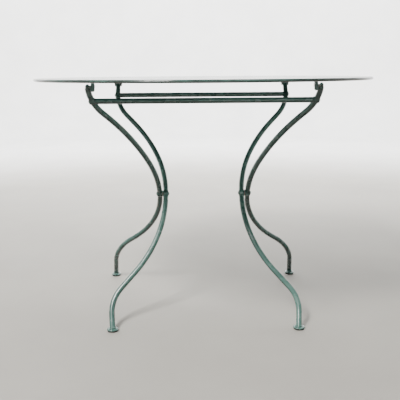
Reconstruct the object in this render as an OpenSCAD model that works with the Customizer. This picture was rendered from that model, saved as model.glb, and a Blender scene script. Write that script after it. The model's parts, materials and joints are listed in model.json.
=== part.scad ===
// Folding bistro table: a round sheet-steel top on two crossed frames of bent round bar.
// The inner frame runs from the near feet up to two hinges under the far side of the top.
// The outer frame runs from the far feet up to two catch pins that sit in claws on the near side.
// +Z is up, +X is to the right, -Y is the near side, and the origin is on the floor at the centre.

/* [Tabletop] */
// Diameter of the top over its rolled rim
top_d = 1000; // [900:10:1100]
// Height of the top surface above the floor
table_h = 716; // [700:1:730]
// Thickness of the sheet
sheet_t = 1.5; // [1:0.5:2]
// Outside diameter of the rolled rim
roll_d = 8; // [7:0.5:10]
// Width of the two straps under the sheet
strap_w = 32; // [30:1:36]
// Thickness of the straps
strap_t = 4; // [3:0.5:4]

/* [Frames] */
// Diameter of the bar of the legs
rod_d = 16; // [14:1:16]
// Diameter of the cross bars
cross_bar_d = 15; // [12:1:15]
// Lean of each frame from the vertical
lean = 35; // [34:0.1:36]
// Height of the pivots where the frames cross
pivot_z = 356; // [350:1:362]
// Half width of the outer frame at its pivots
outer_waist_x = 139; // [130:1:150]
// Gap between the bosses of the two legs at a pivot
pivot_gap = 2; // [1.5:0.5:4]
// Drop of the cross bars below the top surface
cross_bar_drop = 60; // [56:1:64]

/* [Outer legs] */
// Bend radius just above the pivot
outer_waist_r = 368; // [350:1:380]
// Turn of that bend
outer_waist_turn = 21.5; // [20:0.5:23]
// Bend radius of the long upper sweep
outer_sweep_r = 635; // [600:5:650]
// Turn of the upper sweep
outer_sweep_turn = 20; // [19:0.5:21]
// Bend radius of the shoulder, which ends upright
outer_shoulder_r = 127; // [120:1:130]
// Length of the taper above the shoulder
taper_len = 10; // [9:0.5:12]
// Diameter of the rounded tip above the taper
tip_d = 10; // [9:0.5:12]
// Bend radius of the calf, below the pivot
outer_calf_r = 274; // [265:1:280]
// Turn of the calf
outer_calf_turn = 52; // [51:0.5:53]
// Bend radius of the ankle
outer_ankle_r = 179; // [174:1:182]
// Turn of the ankle
outer_ankle_turn = 46.5; // [45:0.5:48]

/* [Inner legs] */
// Bend radius just above the pivot
inner_waist_r = 334; // [320:1:340]
// Turn of that bend
inner_waist_turn = 25; // [24:0.5:26]
// Bend radius of the upper sweep
inner_sweep_r = 485; // [465:5:490]
// Turn of the upper sweep
inner_sweep_turn = 16; // [15:0.5:17]
// Straight reach between the sweep and the shoulder
inner_reach = 44; // [38:1:48]
// Bend radius of the shoulder, which ends upright
inner_shoulder_r = 135; // [128:1:138]
// Bend radius of the calf
inner_calf_r = 391; // [380:1:395]
// Turn of the calf
inner_calf_turn = 39.5; // [38.5:0.5:40.5]
// Straight shin between the calf and the ankle
inner_shin = 64; // [60:1:66]
// Bend radius of the ankle
inner_ankle_r = 107; // [103:1:110]
// Turn of the ankle
inner_ankle_turn = 45; // [44:0.5:46]

/* [Hinges and catches] */
// Drop of the hinge and catch pins below the top surface
pin_drop = 21; // [20.5:0.5:24]
// Diameter of the hinge, catch and pivot pins
pin_d = 8; // [6:1:8]
// Outside diameter of the eyes at the hinges
eye_d = 20; // [18:1:20]
// Thickness of a hinge bracket's plate
bracket_t = 3; // [2.5:0.5:3.5]
// Width of a catch claw
claw_w = 12; // [10:1:12]
// Thickness of a catch claw's finger
claw_t = 5; // [4:0.5:6]

/* [Feet] */
// Diameter of a foot
foot_d = 34; // [32:1:38]
// Height of a foot's metal button
foot_h = 7; // [5:0.5:8]
// Thickness of the pad under a foot
pad_t = 4; // [2:0.5:5]

/* [Hidden] */
$fn = 64;

paint = [0.36, 0.50, 0.46];
rubber = [0.08, 0.08, 0.08];
bright = [0.62, 0.62, 0.60];
LEFT = -1;
RIGHT = 1;
NEAR = -1;
FAR = 1;

fit_gap = 0.05;     // radial clearance of a shaft in its bore
side_gap = 0.3;     // clearance between the faces of moving pieces
boss_d = 18;        // small flat boss where a cross bar's tenon passes through a leg
pivot_boss_d = 20;
boss_w = rod_d + 1;
tenon_d = 9;
head_d = 13;        // peened heads of tenons and pivot rivets
head_h = 3;
seat_depth = 0.25;  // shoulders and heads of the cross bars are let this deep into the bosses
seat_reach = 6;     // length of the cut that clears the leg's slope beyond a seat
rivet_d = 5;        // rivets through the straps
rivet_head_d = 10;
rivet_head_h = 2.5;
pad_inset = 2;
ankle_run = 110;    // straight bar below the ankle, cut off level at the foot
joint_gap = 0.2;    // lengths of a bar end this far from each other, inside a ball
joint_swell = 0.1;  // and the ball is this much wider than the bar

// Heights and places along the frames. v is measured from the pivots up along a frame.
inner_waist_x = outer_waist_x - boss_w - pivot_gap;
seat_x = boss_w / 2 - seat_depth;
strap_z = table_h - sheet_t - strap_t;
pin_v = (table_h - pin_drop - pivot_z) / cos(lean);
bar_v = (table_h - cross_bar_drop - pivot_z) / cos(lean);
foot_top = pad_t + foot_h;
foot_v = (pivot_z - foot_top) / cos(lean);
pin_y = pin_v * sin(lean);
foot_y = foot_v * sin(lean);

// A bar is a list of [radius, turn] bends, or [0, length] where it is straight.
// A positive turn bends it outwards. A place on a bar is [x, v, heading].
outer_upper = [
    [outer_waist_r, outer_waist_turn],
    [outer_sweep_r, outer_sweep_turn],
    [outer_shoulder_r, -outer_waist_turn - outer_sweep_turn]
];
outer_lower = [
    [0, rod_d / 2],
    [outer_calf_r, outer_calf_turn],
    [outer_ankle_r, -outer_ankle_turn],
    [0, ankle_run]
];
inner_bends = [
    [inner_waist_r, inner_waist_turn],
    [inner_sweep_r, inner_sweep_turn],
    [0, inner_reach],
    [inner_shoulder_r, -inner_waist_turn - inner_sweep_turn]
];
inner_lower = [
    [0, rod_d / 2],
    [inner_calf_r, inner_calf_turn],
    [0, inner_shin],
    [inner_ankle_r, -inner_ankle_turn],
    [0, ankle_run]
];
outer_start = [outer_waist_x, 0, 0];
inner_start = [inner_waist_x, 0, 0];
inner_shoulder_end = bar_end(inner_bends, inner_start);
inner_upper = concat(inner_bends, [[0, pin_v - inner_shoulder_end.y]]);

// The place at the end of one length of bar, and at the end of a whole bar
function step(p, seg) =
    seg[0] == 0
    ? [p.x + seg[1] * sin(p.z), p.y + seg[1] * cos(p.z), p.z]
    : let (q = p.z + seg[1], r = sign(seg[1]) * seg[0])
      [p.x + r * (cos(p.z) - cos(q)), p.y + r * (sin(q) - sin(p.z)), q];
function bar_end(segs, p, i = 0) = i == len(segs) ? p : bar_end(segs, step(p, segs[i]), i + 1);
// x where a bend that turns back upright from place p reaches v
function bend_x(p, r, v) = p.x + r * (cos(asin(sin(p.z) - (v - p.y) / r)) - cos(p.z));
// x where a bar that ends straight meets the top of its foot
function foot_x(segs, start) = let (p = bar_end(segs, start)) p.x + (foot_v - p.y) * tan(p.z);

outer_shoulder_start = bar_end([outer_upper[0], outer_upper[1]], outer_start);
outer_shoulder_end = bar_end(outer_upper, outer_start);
inner_shoulder_start = bar_end([inner_upper[0], inner_upper[1], inner_upper[2]], inner_start);
outer_bar_x = bend_x(outer_shoulder_start, outer_shoulder_r, bar_v);
inner_bar_x = bend_x(inner_shoulder_start, inner_shoulder_r, bar_v);
catch_x = outer_shoulder_end.x;
hinge_x = inner_shoulder_end.x;
outer_foot_x = foot_x(outer_lower, outer_start);
inner_foot_x = foot_x(inner_lower, inner_start);

// Claws, brackets and straps lie over the pins
claw_x = catch_x - rod_d / 2 - claw_w / 2 - 0.5;
strap_x = (hinge_x + claw_x) / 2;
strap_len = 2 * sqrt(pow(top_d / 2 - roll_d - 6, 2) - pow(strap_x + strap_w / 2, 2));
strap_rivet_ys = [-strap_len / 2 + 20, -90, 90, strap_len / 2 - 20];
bracket_inner_w = boss_w + 2 * side_gap;
bracket_len = 48;
bracket_rivet_dy = 17;
claw_len = 44;
claw_rivet_dys = [13, 28];

// ---- shapes that repeat ----

// One side's piece, made on the right and mirrored to the left
module side(which) {
    if (which == LEFT) mirror([1, 0, 0]) children();
    else children();
}

// A frame's own plane: its top leans to the near side for the outer frame
module in_plane(towards) {
    translate([0, 0, pivot_z]) rotate([-towards * lean, 0, 0]) children();
}

// Cylinder along X, centred on x
module shaft(d, x, length) {
    translate([x, 0, 0]) rotate([0, 90, 0]) cylinder(d = d, h = length, center = true);
}

// One length of bar, stopping short of its neighbours by joint_gap at each end
module bar_piece(seg) {
    if (seg[0] == 0)
        translate([0, 0, joint_gap]) cylinder(d = rod_d, h = seg[1] - 2 * joint_gap);
    else {
        trim = joint_gap / seg[0] * 180 / PI;
        turn = abs(seg[1]);
        translate([sign(seg[1]) * seg[0], 0, 0])
            rotate([90, 0, 0])
                rotate([0, 0, (seg[1] > 0 ? 180 - turn : 0) + trim])
                    rotate_extrude(angle = turn - 2 * trim, $fn = 180)
                        translate([seg[0], 0]) circle(d = rod_d);
    }
}

// A bent bar. A ball at the start of each length joins it to the one before.
module bar(segs, p, i = 0) {
    translate([p.x, 0, p.y]) sphere(d = rod_d + joint_swell);
    if (i < len(segs)) {
        translate([p.x, 0, p.y]) rotate([0, p.z, 0]) bar_piece(segs[i]);
        bar(segs, step(p, segs[i]), i + 1);
    }
}

// Domed head that stands on the plane z = 0
module head(d, h) {
    r = (d * d / 4 + h * h) / (2 * h);
    rotate_extrude()
        intersection() {
            translate([0, h - r]) circle(r = r, $fn = 128);
            square([d / 2, h]);
        }
}

module head_out(x, d, h) { translate([x, 0, 0]) rotate([0, 90, 0]) head(d, h); }
module head_in(x, d, h) { translate([x, 0, 0]) rotate([0, -90, 0]) head(d, h); }

// ---- tabletop ----

module strap_holes(d) {
    for (y = strap_rivet_ys) translate([strap_x, y, 0]) cylinder(d = d, h = table_h + 1);
}

module fitting_rivet_places() {
    for (dy = [-bracket_rivet_dy, bracket_rivet_dy]) translate([hinge_x, pin_y + dy, 0]) children();
    for (dy = claw_rivet_dys) translate([claw_x, -pin_y + dy, 0]) children();
}

module tabletop_sheet() color(paint)
    difference() {
        rotate_extrude($fn = 256) {
            translate([0, table_h - sheet_t]) square([top_d / 2 - roll_d / 2, sheet_t]);
            translate([top_d / 2 - roll_d / 2, table_h - roll_d / 2])
                difference() {
                    circle(d = roll_d);
                    circle(d = roll_d - 2 * sheet_t);
                }
        }
        for (s = [LEFT, RIGHT]) side(s) {
            strap_holes(rivet_d + 2 * fit_gap);
            fitting_rivet_places() cylinder(d = rivet_d + 2 * fit_gap, h = table_h + 1);
        }
    }

module rim_wire() color(bright)
    rotate_extrude($fn = 256)
        translate([top_d / 2 - roll_d / 2, table_h - roll_d / 2])
            circle(d = roll_d - 2 * sheet_t - 2 * fit_gap);

module strap() color(paint)
    difference() {
        union() {
            translate([strap_x - strap_w / 2, -strap_len / 2 + strap_w / 2, strap_z])
                cube([strap_w, strap_len - strap_w, strap_t]);
            for (s = [NEAR, FAR])
                translate([strap_x, s * (strap_len - strap_w) / 2, strap_z])
                    cylinder(d = strap_w, h = strap_t);
        }
        strap_holes(rivet_d + 2 * fit_gap);
        fitting_rivet_places() cylinder(d = rivet_d + 2 * fit_gap, h = table_h + 1);
    }

// A rivet whose head hangs below z = low and whose shank ends flush with the top surface
module flush_rivet(low) {
    translate([0, 0, low]) cylinder(d = rivet_d, h = table_h - low);
    translate([0, 0, low]) rotate([180, 0, 0]) head(rivet_head_d, rivet_head_h);
}

module strap_rivets() color(paint)
    for (s = [LEFT, RIGHT], y = strap_rivet_ys)
        side(s) translate([strap_x, y, 0]) flush_rivet(strap_z);

module bracket_rivets() color(paint)
    for (s = [LEFT, RIGHT]) side(s) fitting_rivet_places() flush_rivet(strap_z - bracket_t);

// Clevis: a plate under the strap with an ear on each side of the inner leg's eye
module hinge_bracket() color(paint)
    translate([hinge_x, pin_y, table_h - pin_drop]) {
        width = bracket_inner_w + 2 * bracket_t;
        difference() {
            union() {
                translate([-width / 2, -bracket_len / 2, pin_drop - sheet_t - strap_t - bracket_t])
                    cube([width, bracket_len, bracket_t]);
                for (s = [LEFT, RIGHT]) side(s) bracket_ear();
            }
            shaft(pin_d + 2 * fit_gap, 0, 2 * eye_d);
            for (dy = [-bracket_rivet_dy, bracket_rivet_dy])
                translate([0, dy, 0]) cylinder(d = rivet_d + 2 * fit_gap, h = pin_drop);
        }
    }

module bracket_ear() {
    rise = pin_drop - sheet_t - strap_t;
    translate([bracket_inner_w / 2 + bracket_t / 2, 0, 0]) {
        shaft(eye_d, 0, bracket_t);
        rotate([90, 0, 90])
            translate([0, 0, -bracket_t / 2])
                linear_extrude(bracket_t)
                    polygon([
                        [-eye_d / 2, 0], [eye_d / 2, 0],
                        [bracket_len / 2, rise - bracket_t], [bracket_len / 2, rise],
                        [-bracket_len / 2, rise], [-bracket_len / 2, rise - bracket_t]
                    ]);
    }
}

module hinge_pin() color(bright)
    translate([hinge_x, pin_y, table_h - pin_drop]) {
        reach = bracket_inner_w / 2 + bracket_t;
        shaft(pin_d, 0, 2 * reach);
        head_out(reach, pin_d + 3, 2);
        head_in(-reach, pin_d + 3, 2);
    }

// Claw that drops over the catch pin, with a finger on the pin's near side
module catch_claw() color(paint)
    translate([claw_x, -pin_y, table_h - pin_drop]) {
        rise = pin_drop - sheet_t - strap_t;
        seat = pin_d / 2 + side_gap;
        difference() {
            intersection() {
                rotate([90, 0, 90])
                    translate([0, 0, -claw_w / 2])
                        linear_extrude(claw_w) claw_profile(rise, seat);
                rotate([90, 0, 0])
                    translate([0, 0, -claw_len])
                        linear_extrude(2 * claw_len) claw_front(rise);
            }
            for (dy = claw_rivet_dys)
                translate([0, dy, 0]) cylinder(d = rivet_d + 2 * fit_gap, h = pin_drop);
        }
    }

// Seen from the side: flange on the strap, saddle over the pin and a rounded finger on its near
// side. The far side is cut away higher up, because the pin leaves downwards and to the far side.
module claw_profile(rise, seat) {
    drop = 10.5;
    far_lip_z = 2.5;
    far_lip = 1.5;
    difference() {
        union() {
            translate([-seat - claw_t, rise - bracket_t]) square([claw_len, bracket_t]);
            translate([-seat - claw_t, -drop]) square([2 * seat + claw_t + far_lip, rise + drop]);
            translate([-seat - claw_t / 2, -drop]) circle(d = claw_t);
        }
        circle(r = seat);
        translate([-seat, -2 * drop]) square([4 * seat, 2 * drop]);
        translate([0, -drop]) square([4 * seat, drop + far_lip_z]);
    }
}

// Seen from the front: the flange, a narrow neck under it and a leaf with a round end
module claw_front(rise) {
    neck_w = 7;
    neck_z = rise - bracket_t;
    leaf_w = claw_w - 1;
    leaf_z = -7.5;
    polygon([
        [-claw_w / 2, rise], [-claw_w / 2, neck_z], [-neck_w / 2, neck_z - 1], [-leaf_w / 2, 0],
        [-leaf_w / 2, leaf_z], [leaf_w / 2, leaf_z],
        [leaf_w / 2, 0], [neck_w / 2, neck_z - 1], [claw_w / 2, neck_z], [claw_w / 2, rise]
    ]);
    translate([0, leaf_z]) circle(d = leaf_w + joint_swell);
}

// ---- legs ----

// Keeps what stands above the top of the feet
module above_feet() {
    intersection() {
        children();
        translate([-top_d, -top_d, foot_top]) cube([2 * top_d, 2 * top_d, table_h]);
    }
}

// Taper and rounded tip at the top of an outer leg, beyond the end of its bar
module rod_tip(p) {
    translate([p.x, 0, p.y]) {
        cylinder(d1 = rod_d, d2 = tip_d, h = taper_len);
        translate([0, 0, taper_len]) sphere(d = tip_d + joint_swell);
    }
}

module outer_leg() color(paint)
    above_feet()
        in_plane(NEAR)
            difference() {
                union() {
                    bar(outer_upper, outer_start);
                    mirror([0, 0, 1]) bar(outer_lower, outer_start);
                    rod_tip(outer_shoulder_end);
                    shaft(pivot_boss_d, outer_waist_x, boss_w);
                    translate([0, 0, bar_v]) shaft(boss_d, outer_bar_x, boss_w);
                }
                shaft(pin_d + 2 * fit_gap, outer_waist_x, 2 * boss_d);
                tenon_hole(outer_bar_x);
                translate([0, 0, pin_v]) shaft(pin_d + 2 * fit_gap, catch_x, 2 * boss_d);
            }

module inner_leg() color(paint)
    above_feet()
        in_plane(FAR)
            difference() {
                union() {
                    bar(inner_upper, inner_start);
                    mirror([0, 0, 1]) bar(inner_lower, inner_start);
                    shaft(pivot_boss_d, inner_waist_x, boss_w);
                    translate([0, 0, bar_v]) shaft(boss_d, inner_bar_x, boss_w);
                    translate([0, 0, pin_v]) shaft(eye_d, hinge_x, boss_w);
                }
                shaft(pin_d + 2 * fit_gap, inner_waist_x, 2 * boss_d);
                tenon_hole(inner_bar_x);
                translate([0, 0, pin_v]) shaft(pin_d + 2 * fit_gap, hinge_x, 2 * boss_d);
            }

// Hole for a cross bar's tenon, with flat seats for the bar's shoulder and the peened head
module tenon_hole(x) {
    translate([0, 0, bar_v]) {
        shaft(tenon_d + 2 * fit_gap, x, 2 * boss_d);
        for (s = [-1, 1])
            shaft(max(cross_bar_d, head_d) + 0.4, x + s * (seat_x + seat_reach / 2), seat_reach);
    }
}

// Round bar shouldered against the legs, with its tenons peened over outside them
module cross_bar(towards, x) color(paint)
    in_plane(towards)
        translate([0, 0, bar_v]) {
            shaft(cross_bar_d, 0, 2 * (x - seat_x));
            for (s = [LEFT, RIGHT]) side(s) {
                shaft(tenon_d, x - tenon_d / 2, 2 * seat_x + tenon_d);
                head_out(x + seat_x, head_d, head_h);
            }
        }

module catch_pin() color(bright)
    in_plane(NEAR)
        translate([0, 0, pin_v]) {
            inner_end = claw_x - claw_w / 2 + 1;
            outer_end = catch_x + rod_d / 2 - 2;
            shaft(pin_d, (inner_end + outer_end) / 2, outer_end - inner_end);
        }

// Rivet through both legs, with a washer between them
module pivot_rivet() color(paint)
    in_plane(FAR) {
        inner_face = inner_waist_x - boss_w / 2;
        outer_face = outer_waist_x + boss_w / 2 + side_gap;
        shaft(pin_d, (inner_face + outer_face) / 2, outer_face - inner_face);
        head_out(outer_face, head_d, head_h);
        head_in(inner_face, head_d, head_h);
    }

module pivot_washer() color(bright)
    in_plane(FAR) {
        washer_t = pivot_gap - side_gap;
        difference() {
            shaft(pivot_boss_d, inner_waist_x + (boss_w + washer_t) / 2, washer_t);
            shaft(pin_d + 2 * fit_gap, inner_waist_x + rod_d, 2 * boss_d);
        }
    }

// ---- feet ----

module foot(x, y) color(paint)
    translate([x, y, pad_t])
        rotate_extrude()
            polygon([[0, 0], [foot_d / 2, 0], [foot_d / 2, foot_h / 2], [foot_d / 3, foot_h], [0, foot_h]]);

module pad(x, y) color(rubber)
    translate([x, y, 0]) cylinder(d = foot_d - 2 * pad_inset, h = pad_t);

tabletop_sheet();
rim_wire();
side(LEFT) strap();  // strap_left
side(RIGHT) strap();  // strap_right
strap_rivets();
side(LEFT) hinge_bracket();  // hinge_bracket_left
side(RIGHT) hinge_bracket();  // hinge_bracket_right
side(LEFT) hinge_pin();  // hinge_pin_left
side(RIGHT) hinge_pin();  // hinge_pin_right
side(LEFT) catch_claw();  // catch_claw_left
side(RIGHT) catch_claw();  // catch_claw_right
bracket_rivets();
side(LEFT) outer_leg();  // outer_leg_left
side(RIGHT) outer_leg();  // outer_leg_right
cross_bar(NEAR, outer_bar_x);  // outer_cross_bar
side(LEFT) catch_pin();  // catch_pin_left
side(RIGHT) catch_pin();  // catch_pin_right
side(LEFT) foot(outer_foot_x, foot_y);  // outer_foot_left
side(RIGHT) foot(outer_foot_x, foot_y);  // outer_foot_right
side(LEFT) pad(outer_foot_x, foot_y);  // outer_pad_left
side(RIGHT) pad(outer_foot_x, foot_y);  // outer_pad_right
side(LEFT) inner_leg();  // inner_leg_left
side(RIGHT) inner_leg();  // inner_leg_right
cross_bar(FAR, inner_bar_x);  // inner_cross_bar
side(LEFT) pivot_rivet();  // pivot_rivet_left
side(RIGHT) pivot_rivet();  // pivot_rivet_right
side(LEFT) pivot_washer();  // pivot_washer_left
side(RIGHT) pivot_washer();  // pivot_washer_right
side(LEFT) foot(inner_foot_x, -foot_y);  // inner_foot_left
side(RIGHT) foot(inner_foot_x, -foot_y);  // inner_foot_right
side(LEFT) pad(inner_foot_x, -foot_y);  // inner_pad_left
side(RIGHT) pad(inner_foot_x, -foot_y);  // inner_pad_right
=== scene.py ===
"""Folding bistro table: the looks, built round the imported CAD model. Lengths are in metres."""

import json
import math

import bmesh
import bpy
from mathutils import Matrix, Vector, noise


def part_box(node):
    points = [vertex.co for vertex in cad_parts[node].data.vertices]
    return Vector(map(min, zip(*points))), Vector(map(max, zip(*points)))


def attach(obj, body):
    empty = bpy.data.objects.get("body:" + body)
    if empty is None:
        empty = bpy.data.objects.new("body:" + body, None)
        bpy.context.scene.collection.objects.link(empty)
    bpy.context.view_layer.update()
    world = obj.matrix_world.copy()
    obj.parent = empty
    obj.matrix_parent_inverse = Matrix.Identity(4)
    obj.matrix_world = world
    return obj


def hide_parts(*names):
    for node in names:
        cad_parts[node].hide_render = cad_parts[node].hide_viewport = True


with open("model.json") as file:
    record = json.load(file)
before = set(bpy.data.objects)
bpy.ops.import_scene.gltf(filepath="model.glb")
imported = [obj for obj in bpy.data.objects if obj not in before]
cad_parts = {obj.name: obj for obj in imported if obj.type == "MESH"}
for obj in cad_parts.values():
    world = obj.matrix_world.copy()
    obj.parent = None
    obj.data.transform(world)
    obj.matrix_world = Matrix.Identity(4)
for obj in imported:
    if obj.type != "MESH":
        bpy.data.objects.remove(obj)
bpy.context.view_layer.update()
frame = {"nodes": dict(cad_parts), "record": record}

MM = 0.001
RECORD = frame["record"]
BODY_OF = {n: body for body, names in RECORD["behaviour"]["bodies"].items() for n in names}
SLOT_OF = {s["node"]: s["material_slot"] for s in RECORD["subparts"]}
AXLES = [Vector(j["pos_m"]) for j in RECORD["behaviour"]["joints"]]
BAR_R = 8 * MM              # the bent bar of the legs
SHEET_T = 1.5 * MM          # the tabletop's sheet
SAME_POINT = 0.002 * MM     # corners of a CAD mesh closer than this are one


# ---- materials ----

class Shader:
    """A material whose nodes are made by short calls. Sockets are named as Blender names them."""

    def __init__(self, name):
        self.material = bpy.data.materials.new(name)
        self.material.use_nodes = True
        self.tree = self.material.node_tree
        self.tree.nodes.clear()
        self.out = self.node("ShaderNodeOutputMaterial")
        self.bsdf = self.node("ShaderNodeBsdfPrincipled")
        self.tree.links.new(self.bsdf.outputs["BSDF"], self.out.inputs["Surface"])
        self.place = self.node("ShaderNodeTexCoord").outputs["Object"]

    def node(self, kind, **settings):
        n = self.tree.nodes.new(kind)
        for key, value in settings.items():
            setattr(n, key, value)
        return n

    def link(self, socket, target):
        """Links a socket, or sets a plain value, on an input socket."""
        if isinstance(socket, bpy.types.NodeSocket):
            self.tree.links.new(socket, target)
        else:
            target.default_value = socket

    def noise(self, scale, detail=3.0, roughness=0.55, stretch=(1, 1, 1), distortion=0.0):
        mapping = self.node("ShaderNodeMapping")
        mapping.inputs["Scale"].default_value = stretch
        self.link(self.place, mapping.inputs["Vector"])
        n = self.node("ShaderNodeTexNoise")
        self.link(mapping.outputs["Vector"], n.inputs["Vector"])
        n.inputs["Scale"].default_value = scale
        n.inputs["Detail"].default_value = detail
        n.inputs["Roughness"].default_value = roughness
        n.inputs["Distortion"].default_value = distortion
        return n.outputs["Fac"]

    def cells(self, scale):
        v = self.node("ShaderNodeTexVoronoi", feature="F1")
        self.link(self.place, v.inputs["Vector"])
        v.inputs["Scale"].default_value = scale
        return v.outputs["Distance"]

    def ramp(self, value, low, high, to_low=0.0, to_high=1.0):
        """value, from low..high, carried smoothly to to_low..to_high and held there."""
        r = self.node("ShaderNodeMapRange", interpolation_type="SMOOTHSTEP", clamp=True)
        self.link(value, r.inputs["Value"])
        r.inputs["From Min"].default_value = low
        r.inputs["From Max"].default_value = high
        r.inputs["To Min"].default_value = to_low
        r.inputs["To Max"].default_value = to_high
        return r.outputs["Result"]

    def maths(self, operation, a, b=0.0):
        m = self.node("ShaderNodeMath", operation=operation, use_clamp=operation != "SUBTRACT")
        self.link(a, m.inputs[0])
        self.link(b, m.inputs[1])
        return m.outputs["Value"]

    def mix(self, factor, a, b):
        """Colour a where factor is 0 and b where it is 1. The RGBA sockets are found by number."""
        m = self.node("ShaderNodeMix", data_type="RGBA")
        self.link(factor, m.inputs["Factor"])
        for colour, socket in ((a, m.inputs[6]), (b, m.inputs[7])):
            self.link((*colour, 1.0) if isinstance(colour, tuple) else colour, socket)
        return m.outputs[2]

    def pointiness(self):
        """Under 0.5 in hollows, over 0.5 on convex edges."""
        return self.node("ShaderNodeNewGeometry").outputs["Pointiness"]

    def facing_up(self):
        """1 on what faces up, 0 on what is upright, -1 on what faces down; the piece at rest."""
        parts = self.node("ShaderNodeSeparateXYZ")
        self.link(self.node("ShaderNodeTexCoord").outputs["Normal"], parts.inputs["Vector"])
        return parts.outputs["Z"]

    def from_axis(self, low, high):
        """0 within low of the Z axis, rising to 1 at high."""
        flat = self.node("ShaderNodeVectorMath", operation="MULTIPLY")
        self.link(self.place, flat.inputs[0])
        flat.inputs[1].default_value = (1, 1, 0)
        length = self.node("ShaderNodeVectorMath", operation="LENGTH")
        self.link(flat.outputs["Vector"], length.inputs[0])
        return self.ramp(length.outputs["Value"], low, high)

    def bump(self, heights):
        """Chains bumps, each (height, strength, distance in metres), into the shader's normal."""
        normal = None
        for height, strength, distance in heights:
            b = self.node("ShaderNodeBump")
            b.inputs["Strength"].default_value = strength
            b.inputs["Distance"].default_value = distance
            self.link(height, b.inputs["Height"])
            if normal is not None:
                self.link(normal, b.inputs["Normal"])
            normal = b.outputs["Normal"]
        self.link(normal, self.bsdf.inputs["Normal"])

    def surface(self, colour, roughness, metallic=0.0):
        self.link(colour, self.bsdf.inputs["Base Color"])
        self.link(roughness, self.bsdf.inputs["Roughness"])
        self.link(metallic, self.bsdf.inputs["Metallic"])


# Linear RGB
PAINT_DEEP = (0.036, 0.086, 0.074)
PAINT_MID = (0.062, 0.140, 0.118)
PAINT_PALE = (0.115, 0.220, 0.190)
# Painted shade, laid on what faces down
PAINTED_SHADE = (0.007, 0.024, 0.020)
# Primer showing in the chips, and also the painted shade on a round top's rim
PRIMER_AND_RIM_SHADE = (0.020, 0.026, 0.023)
RUST = (0.060, 0.034, 0.020)
DUST = (0.300, 0.285, 0.250)
STEEL_RUBBED = (0.300, 0.295, 0.280)
STEEL_BROWNED = (0.120, 0.105, 0.088)
STEEL_DULL = (0.38, 0.37, 0.35)
STEEL_BLOOM = (0.16, 0.105, 0.070)
RUBBER = (0.018, 0.018, 0.017)
RUBBER_SCUFFED = (0.085, 0.080, 0.070)
FLOOR = ((0.332, 0.318, 0.290), (0.353, 0.338, 0.308))
WALL = ((0.790, 0.790, 0.782), (0.840, 0.840, 0.832))


def aged_paint(name, chip_level, gloss, streak, edge_wear=0.22, painted_dark_rim_beyond=None):
    """Old gloss oil paint: brushed, mottled, chipped to primer and rust, dusty in its hollows.

    What faces down is darkened with painted shade, partly so on what is upright, and what faces up
    keeps the plain tone.
    Past a given distance from the Z axis, on a round top's rim, it is darkened in patches with
    painted shade. chip_level is how high the wear must be to chip: a higher level, fewer chips.
    """
    s = Shader(name)
    drift = s.noise(scale=5.0, detail=4.0)
    mottle = s.noise(scale=70.0, detail=5.0, roughness=0.65)
    brush = s.noise(scale=38.0, detail=3.0, stretch=streak)
    tone = s.mix(s.ramp(drift, 0.35, 0.68), PAINT_DEEP, PAINT_MID)
    tone = s.mix(s.ramp(mottle, 0.50, 0.80, to_high=0.40), tone, PAINT_PALE)
    tone = s.mix(s.ramp(brush, 0.50, 0.78, to_high=0.25), tone, PAINT_DEEP)

    up = s.facing_up()
    # Painted shade: the paint is darkened towards near black on what faces down, and partly on what
    # is upright
    tone = s.mix(s.ramp(up, -0.50, 0.30, 0.88, 0.0), tone, PAINTED_SHADE)
    # Painted shade: out at a round top's rim the paint is darkened in patches towards near black
    if painted_dark_rim_beyond is not None:
        reach = s.from_axis(painted_dark_rim_beyond, painted_dark_rim_beyond + 3 * MM)
        patches = s.ramp(s.noise(scale=14.0, detail=5.0, roughness=0.6), 0.36, 0.60, 0.40, 0.85)
        tone = s.mix(s.maths("MULTIPLY", reach, patches), tone, PRIMER_AND_RIM_SHADE)

    # Chips: irregular flakes, commonest along edges, with rust at the heart of the larger ones
    worn_edges = s.maths("MULTIPLY", s.ramp(s.pointiness(), 0.52, 0.60), edge_wear)
    flecks = s.noise(scale=95.0, detail=6.0, roughness=0.7, distortion=0.6)
    flakes = s.maths("ADD", flecks, worn_edges)
    clumps = s.ramp(s.noise(scale=9.0, detail=3.0), 0.45, 0.70, to_high=0.10)
    wear = s.maths("ADD", flakes, clumps)
    chip = s.ramp(wear, chip_level, chip_level + 0.025)
    heart = s.ramp(wear, chip_level + 0.05, chip_level + 0.10)
    tone = s.mix(chip, tone, PRIMER_AND_RIM_SHADE)
    tone = s.mix(heart, tone, RUST)

    # Dust lies in hollows, on what faces up
    hollow = s.ramp(s.pointiness(), 0.42, 0.48, 0.55, 0.0)
    settled = s.maths("MULTIPLY", s.ramp(up, 0.0, 0.5), s.ramp(mottle, 0.35, 0.6))
    tone = s.mix(s.maths("MULTIPLY", hollow, settled), tone, DUST)

    smears = s.ramp(s.noise(scale=22.0, detail=4.0), 0.3, 0.7, gloss, gloss + 0.12)
    s.surface(tone, s.maths("ADD", smears, s.maths("MULTIPLY", chip, 0.4)))
    s.bsdf.inputs["IOR"].default_value = 1.52
    s.bsdf.inputs["Coat Weight"].default_value = 0.2
    s.bsdf.inputs["Coat Roughness"].default_value = 0.07
    s.bump([
        (s.maths("SUBTRACT", 1.0, chip), 0.5, 0.12 * MM),
        (brush, 0.20, 0.25 * MM),
        (s.noise(scale=420.0, detail=2.0), 0.10, 0.10 * MM),
    ])
    return s.material


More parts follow.
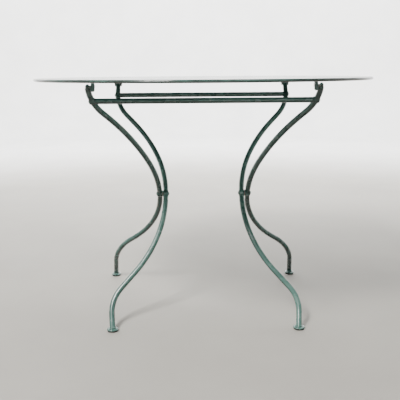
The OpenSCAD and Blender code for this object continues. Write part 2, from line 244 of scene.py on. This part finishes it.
def rubbed_pin(name):
    """Steel pin with its paint rubbed away: bright on the wear bands, brown and green elsewhere."""
    s = Shader(name)
    bands = s.noise(scale=160.0, detail=4.0, roughness=0.6)
    grime = s.noise(scale=45.0, detail=5.0, roughness=0.7)
    tone = s.mix(s.ramp(bands, 0.40, 0.62), STEEL_RUBBED, STEEL_BROWNED)
    tone = s.mix(s.ramp(grime, 0.50, 0.62), tone, PAINT_MID)
    tone = s.mix(s.ramp(grime, 0.30, 0.40, 0.7, 0.0), tone, RUST)
    s.surface(tone, s.ramp(bands, 0.3, 0.7, 0.28, 0.55), s.ramp(grime, 0.50, 0.62, 0.85, 0.0))
    s.bump([(bands, 0.25, 0.06 * MM), (s.noise(scale=700.0, detail=2.0), 0.15, 0.04 * MM)])
    return s.material


def dull_steel(name):
    """Unpainted steel with a brown bloom."""
    s = Shader(name)
    bloom = s.noise(scale=55.0, detail=5.0, roughness=0.65)
    tone = s.mix(s.ramp(bloom, 0.42, 0.66), STEEL_DULL, STEEL_BLOOM)
    s.surface(tone, s.ramp(bloom, 0.35, 0.7, 0.35, 0.75), s.ramp(bloom, 0.42, 0.70, 0.9, 0.25))
    s.bump([(bloom, 0.3, 0.08 * MM), (s.noise(scale=500.0, detail=3.0), 0.2, 0.05 * MM)])
    return s.material


def foot_rubber(name):
    """Black rubber, scuffed and dusty."""
    s = Shader(name)
    scuff = s.noise(scale=130.0, detail=5.0, roughness=0.7)
    tone = s.mix(s.ramp(scuff, 0.48, 0.75, to_high=0.6), RUBBER, RUBBER_SCUFFED)
    s.surface(tone, s.ramp(scuff, 0.3, 0.7, 0.65, 0.9))
    s.bump([(scuff, 0.35, 0.15 * MM), (s.cells(900.0), 0.2, 0.08 * MM)])
    return s.material


# How brush marks are drawn out: a smaller number is a longer mark along that axis
ALONG_BAR = (1.0, 1.0, 0.22)
ACROSS_TOP = (0.35, 1.0, 1.0)
FINISH = {
    "frame_paint": aged_paint("frame_paint", chip_level=0.86, gloss=0.20, streak=ALONG_BAR),
    "top_paint": aged_paint("top_paint", chip_level=0.90, gloss=0.13, streak=ACROSS_TOP,
                            edge_wear=0.05, painted_dark_rim_beyond=492 * MM),
    "worn_pin": rubbed_pin("worn_pin"),
    "bare_steel": dull_steel("bare_steel"),
    "foot_pad": foot_rubber("foot_pad"),
}


# ---- meshes ----

def new_piece(name, bm, body, slot, replaced=()):
    """Makes a smooth-shaded piece from a bmesh, finished in a slot and riding on a body."""
    mesh = bpy.data.meshes.new(name)
    bm.to_mesh(mesh)
    bm.free()
    obj = bpy.data.objects.new(name, mesh)
    bpy.context.scene.collection.objects.link(obj)
    return dress(obj, body, slot, replaced)


def dress(obj, body, slot, replaced=()):
    obj.data.materials.clear()
    obj.data.materials.append(FINISH[slot])
    obj.data.polygons.foreach_set("use_smooth", [True] * len(obj.data.polygons))
    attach(obj, body)
    if replaced:
        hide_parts(*replaced)
    return obj


def evaluated(obj, modifiers):
    """The mesh of obj after some modifiers, each (type, settings)."""
    for kind, settings in modifiers:
        m = obj.modifiers.new(kind, kind)
        for key, value in settings.items():
            setattr(m, key, value)
    graph = bpy.context.evaluated_depsgraph_get()
    mesh = bpy.data.meshes.new_from_object(obj.evaluated_get(graph))
    obj.modifiers.clear()
    return mesh


AXLE_CLEAR = 16 * MM        # no coat of paint this near a joint's axis
AXLE_FADE = 12 * MM         # and from there it comes in over this distance


def off_axle(point):
    """0 close to a joint's axis, where pieces run on each other, and 1 well away from it."""
    near = min(math.hypot(point.y - a.y, point.z - a.z) for a in AXLES)
    return min(max((near - AXLE_CLEAR) / AXLE_FADE, 0.0), 1.0)


def cad_mesh(node):
    """A bmesh of a CAD node with its split corners joined."""
    bm = bmesh.new()
    bm.from_mesh(frame["nodes"][node].data)
    bmesh.ops.remove_doubles(bm, verts=bm.verts, dist=SAME_POINT)
    return bm


def coated(node, voxel, smoothing, wobble, wavelength, coat=0.0):
    """A CAD node as thick paint leaves it: corners rounded, seams filled, faces a little uneven.

    voxel is the size of the mesh's squares, wobble is how far hand work throws the surface out,
    wavelength is how far apart its waves are, and coat is the thickness of paint away from the
    joints.
    """
    bm = cad_mesh(node)
    mesh = bpy.data.meshes.new(node + "_coated")
    bm.to_mesh(mesh)
    bm.free()
    obj = bpy.data.objects.new(node + "_coated", mesh)
    bpy.context.scene.collection.objects.link(obj)
    obj.data = evaluated(obj, [
        ("REMESH", {"mode": "VOXEL", "voxel_size": voxel, "adaptivity": 0.0}),
        ("SMOOTH", {"factor": 0.5, "iterations": smoothing}),
    ])
    # Normals are read before any vertex moves: a move makes them all be worked out again
    normals = [v.normal.copy() for v in obj.data.vertices]
    for v, normal in zip(obj.data.vertices, normals):
        v.co += normal * (coat * off_axle(v.co) + wobble * noise.noise(v.co / wavelength))
    return dress(obj, BODY_OF[node], SLOT_OF[node], [node])


def steps(first, last, count):
    """count + 1 values, evenly spaced from first to last."""
    return [first + (last - first) * i / count for i in range(count + 1)]


def circle(r, z, segments):
    """Points of a level circle about the Z axis."""
    angles = (2 * math.pi * i / segments for i in range(segments))
    return [(r * math.cos(a), r * math.sin(a), z) for a in angles]


def turned(profile, segments):
    """A closed ring of (radius, height) points turned about Z.

    Neighbouring points at radius 0 close on the axis.
    """
    bm = bmesh.new()
    rings = []
    for r, z in profile:
        points = circle(r, z, segments) if r else [(0, 0, z)]
        rings.append([bm.verts.new(p) for p in points])
    for a, b in zip(rings, rings[1:] + rings[:1]):
        for i in range(segments):
            j = (i + 1) % segments
            if len(a) > 1 and len(b) > 1:
                bm.faces.new((a[i], a[j], b[j], b[i]))
            elif len(a) > 1:
                bm.faces.new((a[i], a[j], b[0]))
            elif len(b) > 1:
                bm.faces.new((a[0], b[j], b[i]))
    bmesh.ops.recalc_face_normals(bm, faces=bm.faces)
    return bm


# ---- tabletop ----

def tabletop():
    """Thin sheet whose edge is rolled round a wire, slightly uneven as an old sheet is."""
    low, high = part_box("tabletop_sheet")
    roll = (high.z - low.z) / 2
    edge = high.x - roll
    axis_z = high.z - roll
    flat_steps, roll_steps, segments = 22, 22, 288
    curl = math.radians(318)       # how far the sheet's edge goes round the wire
    inner = roll - SHEET_T
    broad_wave, narrow_wave, rim_wave = 0.17, 0.06, 0.09
    ripple_h, narrow_share, rim_h = 0.22 * MM, 0.4, 0.06 * MM

    top = [(edge * i / flat_steps, high.z) for i in range(flat_steps)]
    around = [math.pi / 2 - curl * i / roll_steps for i in range(roll_steps + 1)]
    outside = [(edge + roll * math.cos(a), axis_z + roll * math.sin(a)) for a in around]
    inside = [(edge + inner * math.cos(a), axis_z + inner * math.sin(a)) for a in around[::-1]]
    under = [(edge * i / flat_steps, high.z - SHEET_T) for i in reversed(range(flat_steps))]
    bm = turned(top + outside + inside + under, segments)

    for v in bm.verts:
        x, y = v.co.x, v.co.y
        loose = 1 - min(math.hypot(x, y) / edge, 1) ** 6     # 1 in the middle, 0 at the stiff rim
        broad = noise.noise(Vector((x, y, 0)) / broad_wave)
        narrow = noise.noise(Vector((x, y, 1)) / narrow_wave)
        along_rim = noise.noise(Vector((x, y, 2)) / rim_wave)
        v.co.z += ripple_h * loose * (broad + narrow_share * narrow)
        v.co.z += rim_h * (1 - loose) * along_rim
    return new_piece("rolled_top", bm, "tabletop", "top_paint", ["tabletop_sheet"])


def islands(node):
    """The boxes of a CAD node's separate solids."""
    bm = cad_mesh(node)
    left = set(bm.verts)
    boxes = []
    while left:
        stack = [left.pop()]
        low, high = stack[0].co.copy(), stack[0].co.copy()
        while stack:
            v = stack.pop()
            low = Vector(map(min, low, v.co))
            high = Vector(map(max, high, v.co))
            for e in v.link_edges:
                other = e.other_vert(v)
                if other in left:
                    left.discard(other)
                    stack.append(other)
        boxes.append((low, high))
    bm.free()
    return sorted(boxes, key=lambda b: (round(b[0].x, 5), round(b[0].y, 5)))


def rivet_group(node, name):
    """Each rivet of a CAD group: a domed head below, and above a hammered disc, just proud."""
    head_h = 2.5 * MM
    cap_h = 0.35 * MM
    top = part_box("tabletop_sheet")[1].z
    bm = bmesh.new()
    for low, high in islands(node):
        centre = (low + high) / 2
        head_r = (high.x - low.x) / 2
        shank_r = head_r / 2
        cap_r = shank_r * 1.5
        seat = low.z + head_h
        dome = [(head_r * math.cos(a), seat - head_h * math.sin(a))
                for a in steps(math.pi / 2, 0, 8)]
        # The dome's first point and the cap's last lie on the axis, and are given exactly
        shank = [(shank_r, seat), (shank_r, top)]
        cap = [(cap_r * math.cos(a), top + cap_h * math.sin(a)) for a in steps(0, math.pi / 2, 5)]
        rivet = turned([(0, low.z)] + dome[1:] + shank + cap[:-1] + [(0, top + cap_h)], 32)
        bmesh.ops.translate(rivet, verts=rivet.verts, vec=(centre.x, centre.y, 0))
        part = bpy.data.meshes.new("rivet")
        rivet.to_mesh(part)
        rivet.free()
        bm.from_mesh(part)
        bpy.data.meshes.remove(part)
    return new_piece(name, bm, "tabletop", "frame_paint", [node])


# ---- feet ----

def foot(node):
    """Flared button foot: a thin rounded brim that sweeps up to meet the leg."""
    low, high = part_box(node)
    centre = (low + high) / 2
    height = high.z - low.z
    neck_r = BAR_R + 2 * MM
    brim_t = 3.6 * MM
    uneven, wavelength = 0.12 * MM, 0.012
    edge_r = brim_t / 2                         # the brim's edge is a half round
    flat_r = (high.x - low.x) / 2 - edge_r      # and the brim is level within this radius
    brim = [(flat_r + edge_r * math.cos(a), low.z + edge_r + edge_r * math.sin(a))
            for a in steps(-math.pi / 2, math.pi / 2, 8)]
    sweep = []
    for t in steps(0, math.pi / 2, 10)[1:]:
        sweep.append((flat_r + (neck_r - flat_r) * math.sin(t),
                      low.z + brim_t + (height - brim_t) * (1 - math.cos(t))))
    bm = turned([(0, low.z)] + brim + sweep + [(0, high.z)], 64)
    bmesh.ops.translate(bm, verts=bm.verts, vec=(centre.x, centre.y, 0))
    for v in bm.verts:
        v.co += Vector((0, 0, uneven)) * noise.noise(v.co / wavelength)
    return new_piece(node + "_flared", bm, BODY_OF[node], "frame_paint", [node])


def weld(foot_node, leg_node):
    """The lumpy ring of weld where a leaning leg meets its level foot."""
    low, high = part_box(foot_node)
    centre = (low + high) / 2
    leg_low, leg_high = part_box(leg_node)
    lean = math.atan2(leg_high.y - leg_low.y, leg_high.z - leg_low.z)
    across = BAR_R
    along = across / math.cos(lean)     # a level cut through the leaning bar is an oval
    thick = 1.6 * MM
    lumps, lump_size = 0.16, 0.0035
    segments, sides = 56, 12
    bm = bmesh.new()
    rings = []
    for i in range(segments):
        a = 2 * math.pi * i / segments
        out = Vector((math.cos(a), math.sin(a), 0))
        middle = Vector((centre.x + across * out.x, centre.y + along * out.y, high.z))
        bead = thick * (1 + lumps * noise.noise(middle / lump_size))
        ring = []
        for k in range(sides):
            b = 2 * math.pi * k / sides
            rise = Vector((0, 0, bead * math.sin(b)))
            ring.append(bm.verts.new(middle + out * bead * math.cos(b) + rise))
        rings.append(ring)
    for a, b in zip(rings, rings[1:] + rings[:1]):
        for k in range(sides):
            j = (k + 1) % sides
            bm.faces.new((a[k], b[k], b[j], a[j]))
    bmesh.ops.recalc_face_normals(bm, faces=bm.faces)
    return new_piece(foot_node + "_weld", bm, BODY_OF[foot_node], "frame_paint")


# ---- build ----

# How each kind of node is coated: fine squares on small fittings, coarser ones on the long bars
LEG = dict(voxel=1.25 * MM, smoothing=6, wobble=0.18 * MM, wavelength=0.045, coat=0.35 * MM)
CROSS_BAR = dict(voxel=1.1 * MM, smoothing=5, wobble=0.15 * MM, wavelength=0.060, coat=0.30 * MM)
STRAP = dict(voxel=1.2 * MM, smoothing=3, wobble=0.10 * MM, wavelength=0.050)
FITTING = dict(voxel=0.5 * MM, smoothing=4, wobble=0.08 * MM, wavelength=0.012)
PIN = dict(voxel=0.4 * MM, smoothing=3, wobble=0.04 * MM, wavelength=0.008)
PAD = dict(voxel=0.6 * MM, smoothing=4, wobble=0.05 * MM, wavelength=0.008)
COATS = {
    "outer_leg": LEG, "inner_leg": LEG,
    "outer_cross_bar": CROSS_BAR, "inner_cross_bar": CROSS_BAR,
    "strap": STRAP,
    "hinge_bracket": FITTING, "catch_claw": FITTING,
    "hinge_pin": PIN, "catch_pin": PIN, "pivot_rivet": PIN, "pivot_washer": PIN,
    "outer_pad": PAD, "inner_pad": PAD,
}
for part in RECORD["subparts"]:
    kind = part["node"].removesuffix("_left").removesuffix("_right")
    if kind in COATS:
        coated(part["node"], **COATS[kind])

tabletop()
rivet_group("strap_rivets", "strap_rivets_hammered")
rivet_group("bracket_rivets", "bracket_rivets_hammered")
for frame_name in ("outer", "inner"):
    for which in ("left", "right"):
        foot(f"{frame_name}_foot_{which}")
        weld(f"{frame_name}_foot_{which}", f"{frame_name}_leg_{which}")
rim_wire = frame["nodes"]["rim_wire"].data      # the CAD wire stays, in a better material
rim_wire.materials.clear()
rim_wire.materials.append(FINISH["bare_steel"])


# ---- studio ----

def studio_paint(name):
    """Pale tan floor that turns into a white wall well behind the table."""
    s = Shader(name)
    floor_to, wall_from, roughness = 2.1, 4.4, 0.8
    grain = s.ramp(s.noise(scale=3.0, detail=5.0), 0.3, 0.7)
    floor = s.mix(grain, *FLOOR)
    wall = s.mix(grain, *WALL)
    s.surface(s.mix(s.from_axis(floor_to, wall_from), floor, wall), roughness)
    return s.material


def cyclorama():
    """A round studio: a pale floor that curves up into a pale wall on all sides."""
    floor_r, cove, wall_h = 5.0, 0.8, 5.0
    segments = 96
    curve = [(floor_r + cove * math.sin(a), cove - cove * math.cos(a))
             for a in steps(0, math.pi / 2, 16)]
    level = [(r, 0) for r in (0.6, 1.5, 3.0)]
    bm = bmesh.new()
    rings = [[bm.verts.new((0, 0, 0))] * segments]
    for r, z in level + curve + [(floor_r + cove, wall_h)]:
        rings.append([bm.verts.new(p) for p in circle(r, z, segments)])
    for a, b in zip(rings, rings[1:]):
        for i in range(segments):
            j = (i + 1) % segments
            bm.faces.new((a[i], b[i], b[j]) if a is rings[0] else (a[i], b[i], b[j], a[j]))
    mesh = bpy.data.meshes.new("studio")
    bm.to_mesh(mesh)
    bm.free()
    mesh.polygons.foreach_set("use_smooth", [True] * len(mesh.polygons))
    mesh.materials.append(studio_paint("studio_paint"))
    obj = bpy.data.objects.new("studio", mesh)
    bpy.context.scene.collection.objects.link(obj)


def softbox(name, place, aim, size, watts, colour=(1, 1, 1)):
    """A rectangular light at place, turned towards aim."""
    light = bpy.data.lights.new(name, "AREA")
    light.shape = "RECTANGLE"
    light.size, light.size_y = size
    light.energy = watts
    light.color = colour
    obj = bpy.data.objects.new(name, light)
    obj.location = place
    obj.rotation_euler = (Vector(aim) - Vector(place)).to_track_quat("-Z", "Y").to_euler()
    bpy.context.scene.collection.objects.link(obj)


def camera(place, yaw, pitch, roll, lens):
    """Angles in degrees: yaw right, pitch down, roll anticlockwise from behind. lens in mm."""
    data = bpy.data.cameras.new("camera")
    data.sensor_width = 36.0
    data.lens = lens
    obj = bpy.data.objects.new("camera", data)
    turn = Matrix.Rotation(math.radians(-yaw), 4, "Z")
    tilt = Matrix.Rotation(math.radians(90 - pitch), 4, "X")
    bank = Matrix.Rotation(math.radians(roll), 4, "Z")
    obj.matrix_world = Matrix.Translation(place) @ turn @ tilt @ bank
    bpy.context.scene.collection.objects.link(obj)
    bpy.context.scene.camera = obj


cyclorama()
softbox("key", place=(-1.50, -2.10, 3.10), aim=(0, 0, 0.30), size=(1.0, 0.8), watts=270,
        colour=(1.0, 0.98, 0.95))
# The fill is high enough for the top to shade most of the claws, brackets and far bar from it
softbox("fill", place=(0.9, -3.9, 1.20), aim=(0, 0, 0.45), size=(1.6, 0.35), watts=13,
        colour=(0.95, 0.97, 1.0))
softbox("backdrop", place=(0.0, 2.4, 3.2), aim=(0, 5.0, 0.3), size=(5.0, 2.0), watts=700)
world = bpy.data.worlds.new("soft_white")
world.use_nodes = True
sky = world.node_tree.nodes["Background"]
sky.inputs["Color"].default_value = (0.90, 0.93, 0.97, 1.0)
sky.inputs["Strength"].default_value = 0.16
bpy.context.scene.world = world

# A little left of the middle, just above the height of the top and looking down on the legs
camera(place=(-0.034, -1.850, 0.734), yaw=0.69, pitch=12.22, roll=-0.40, lens=53.5)
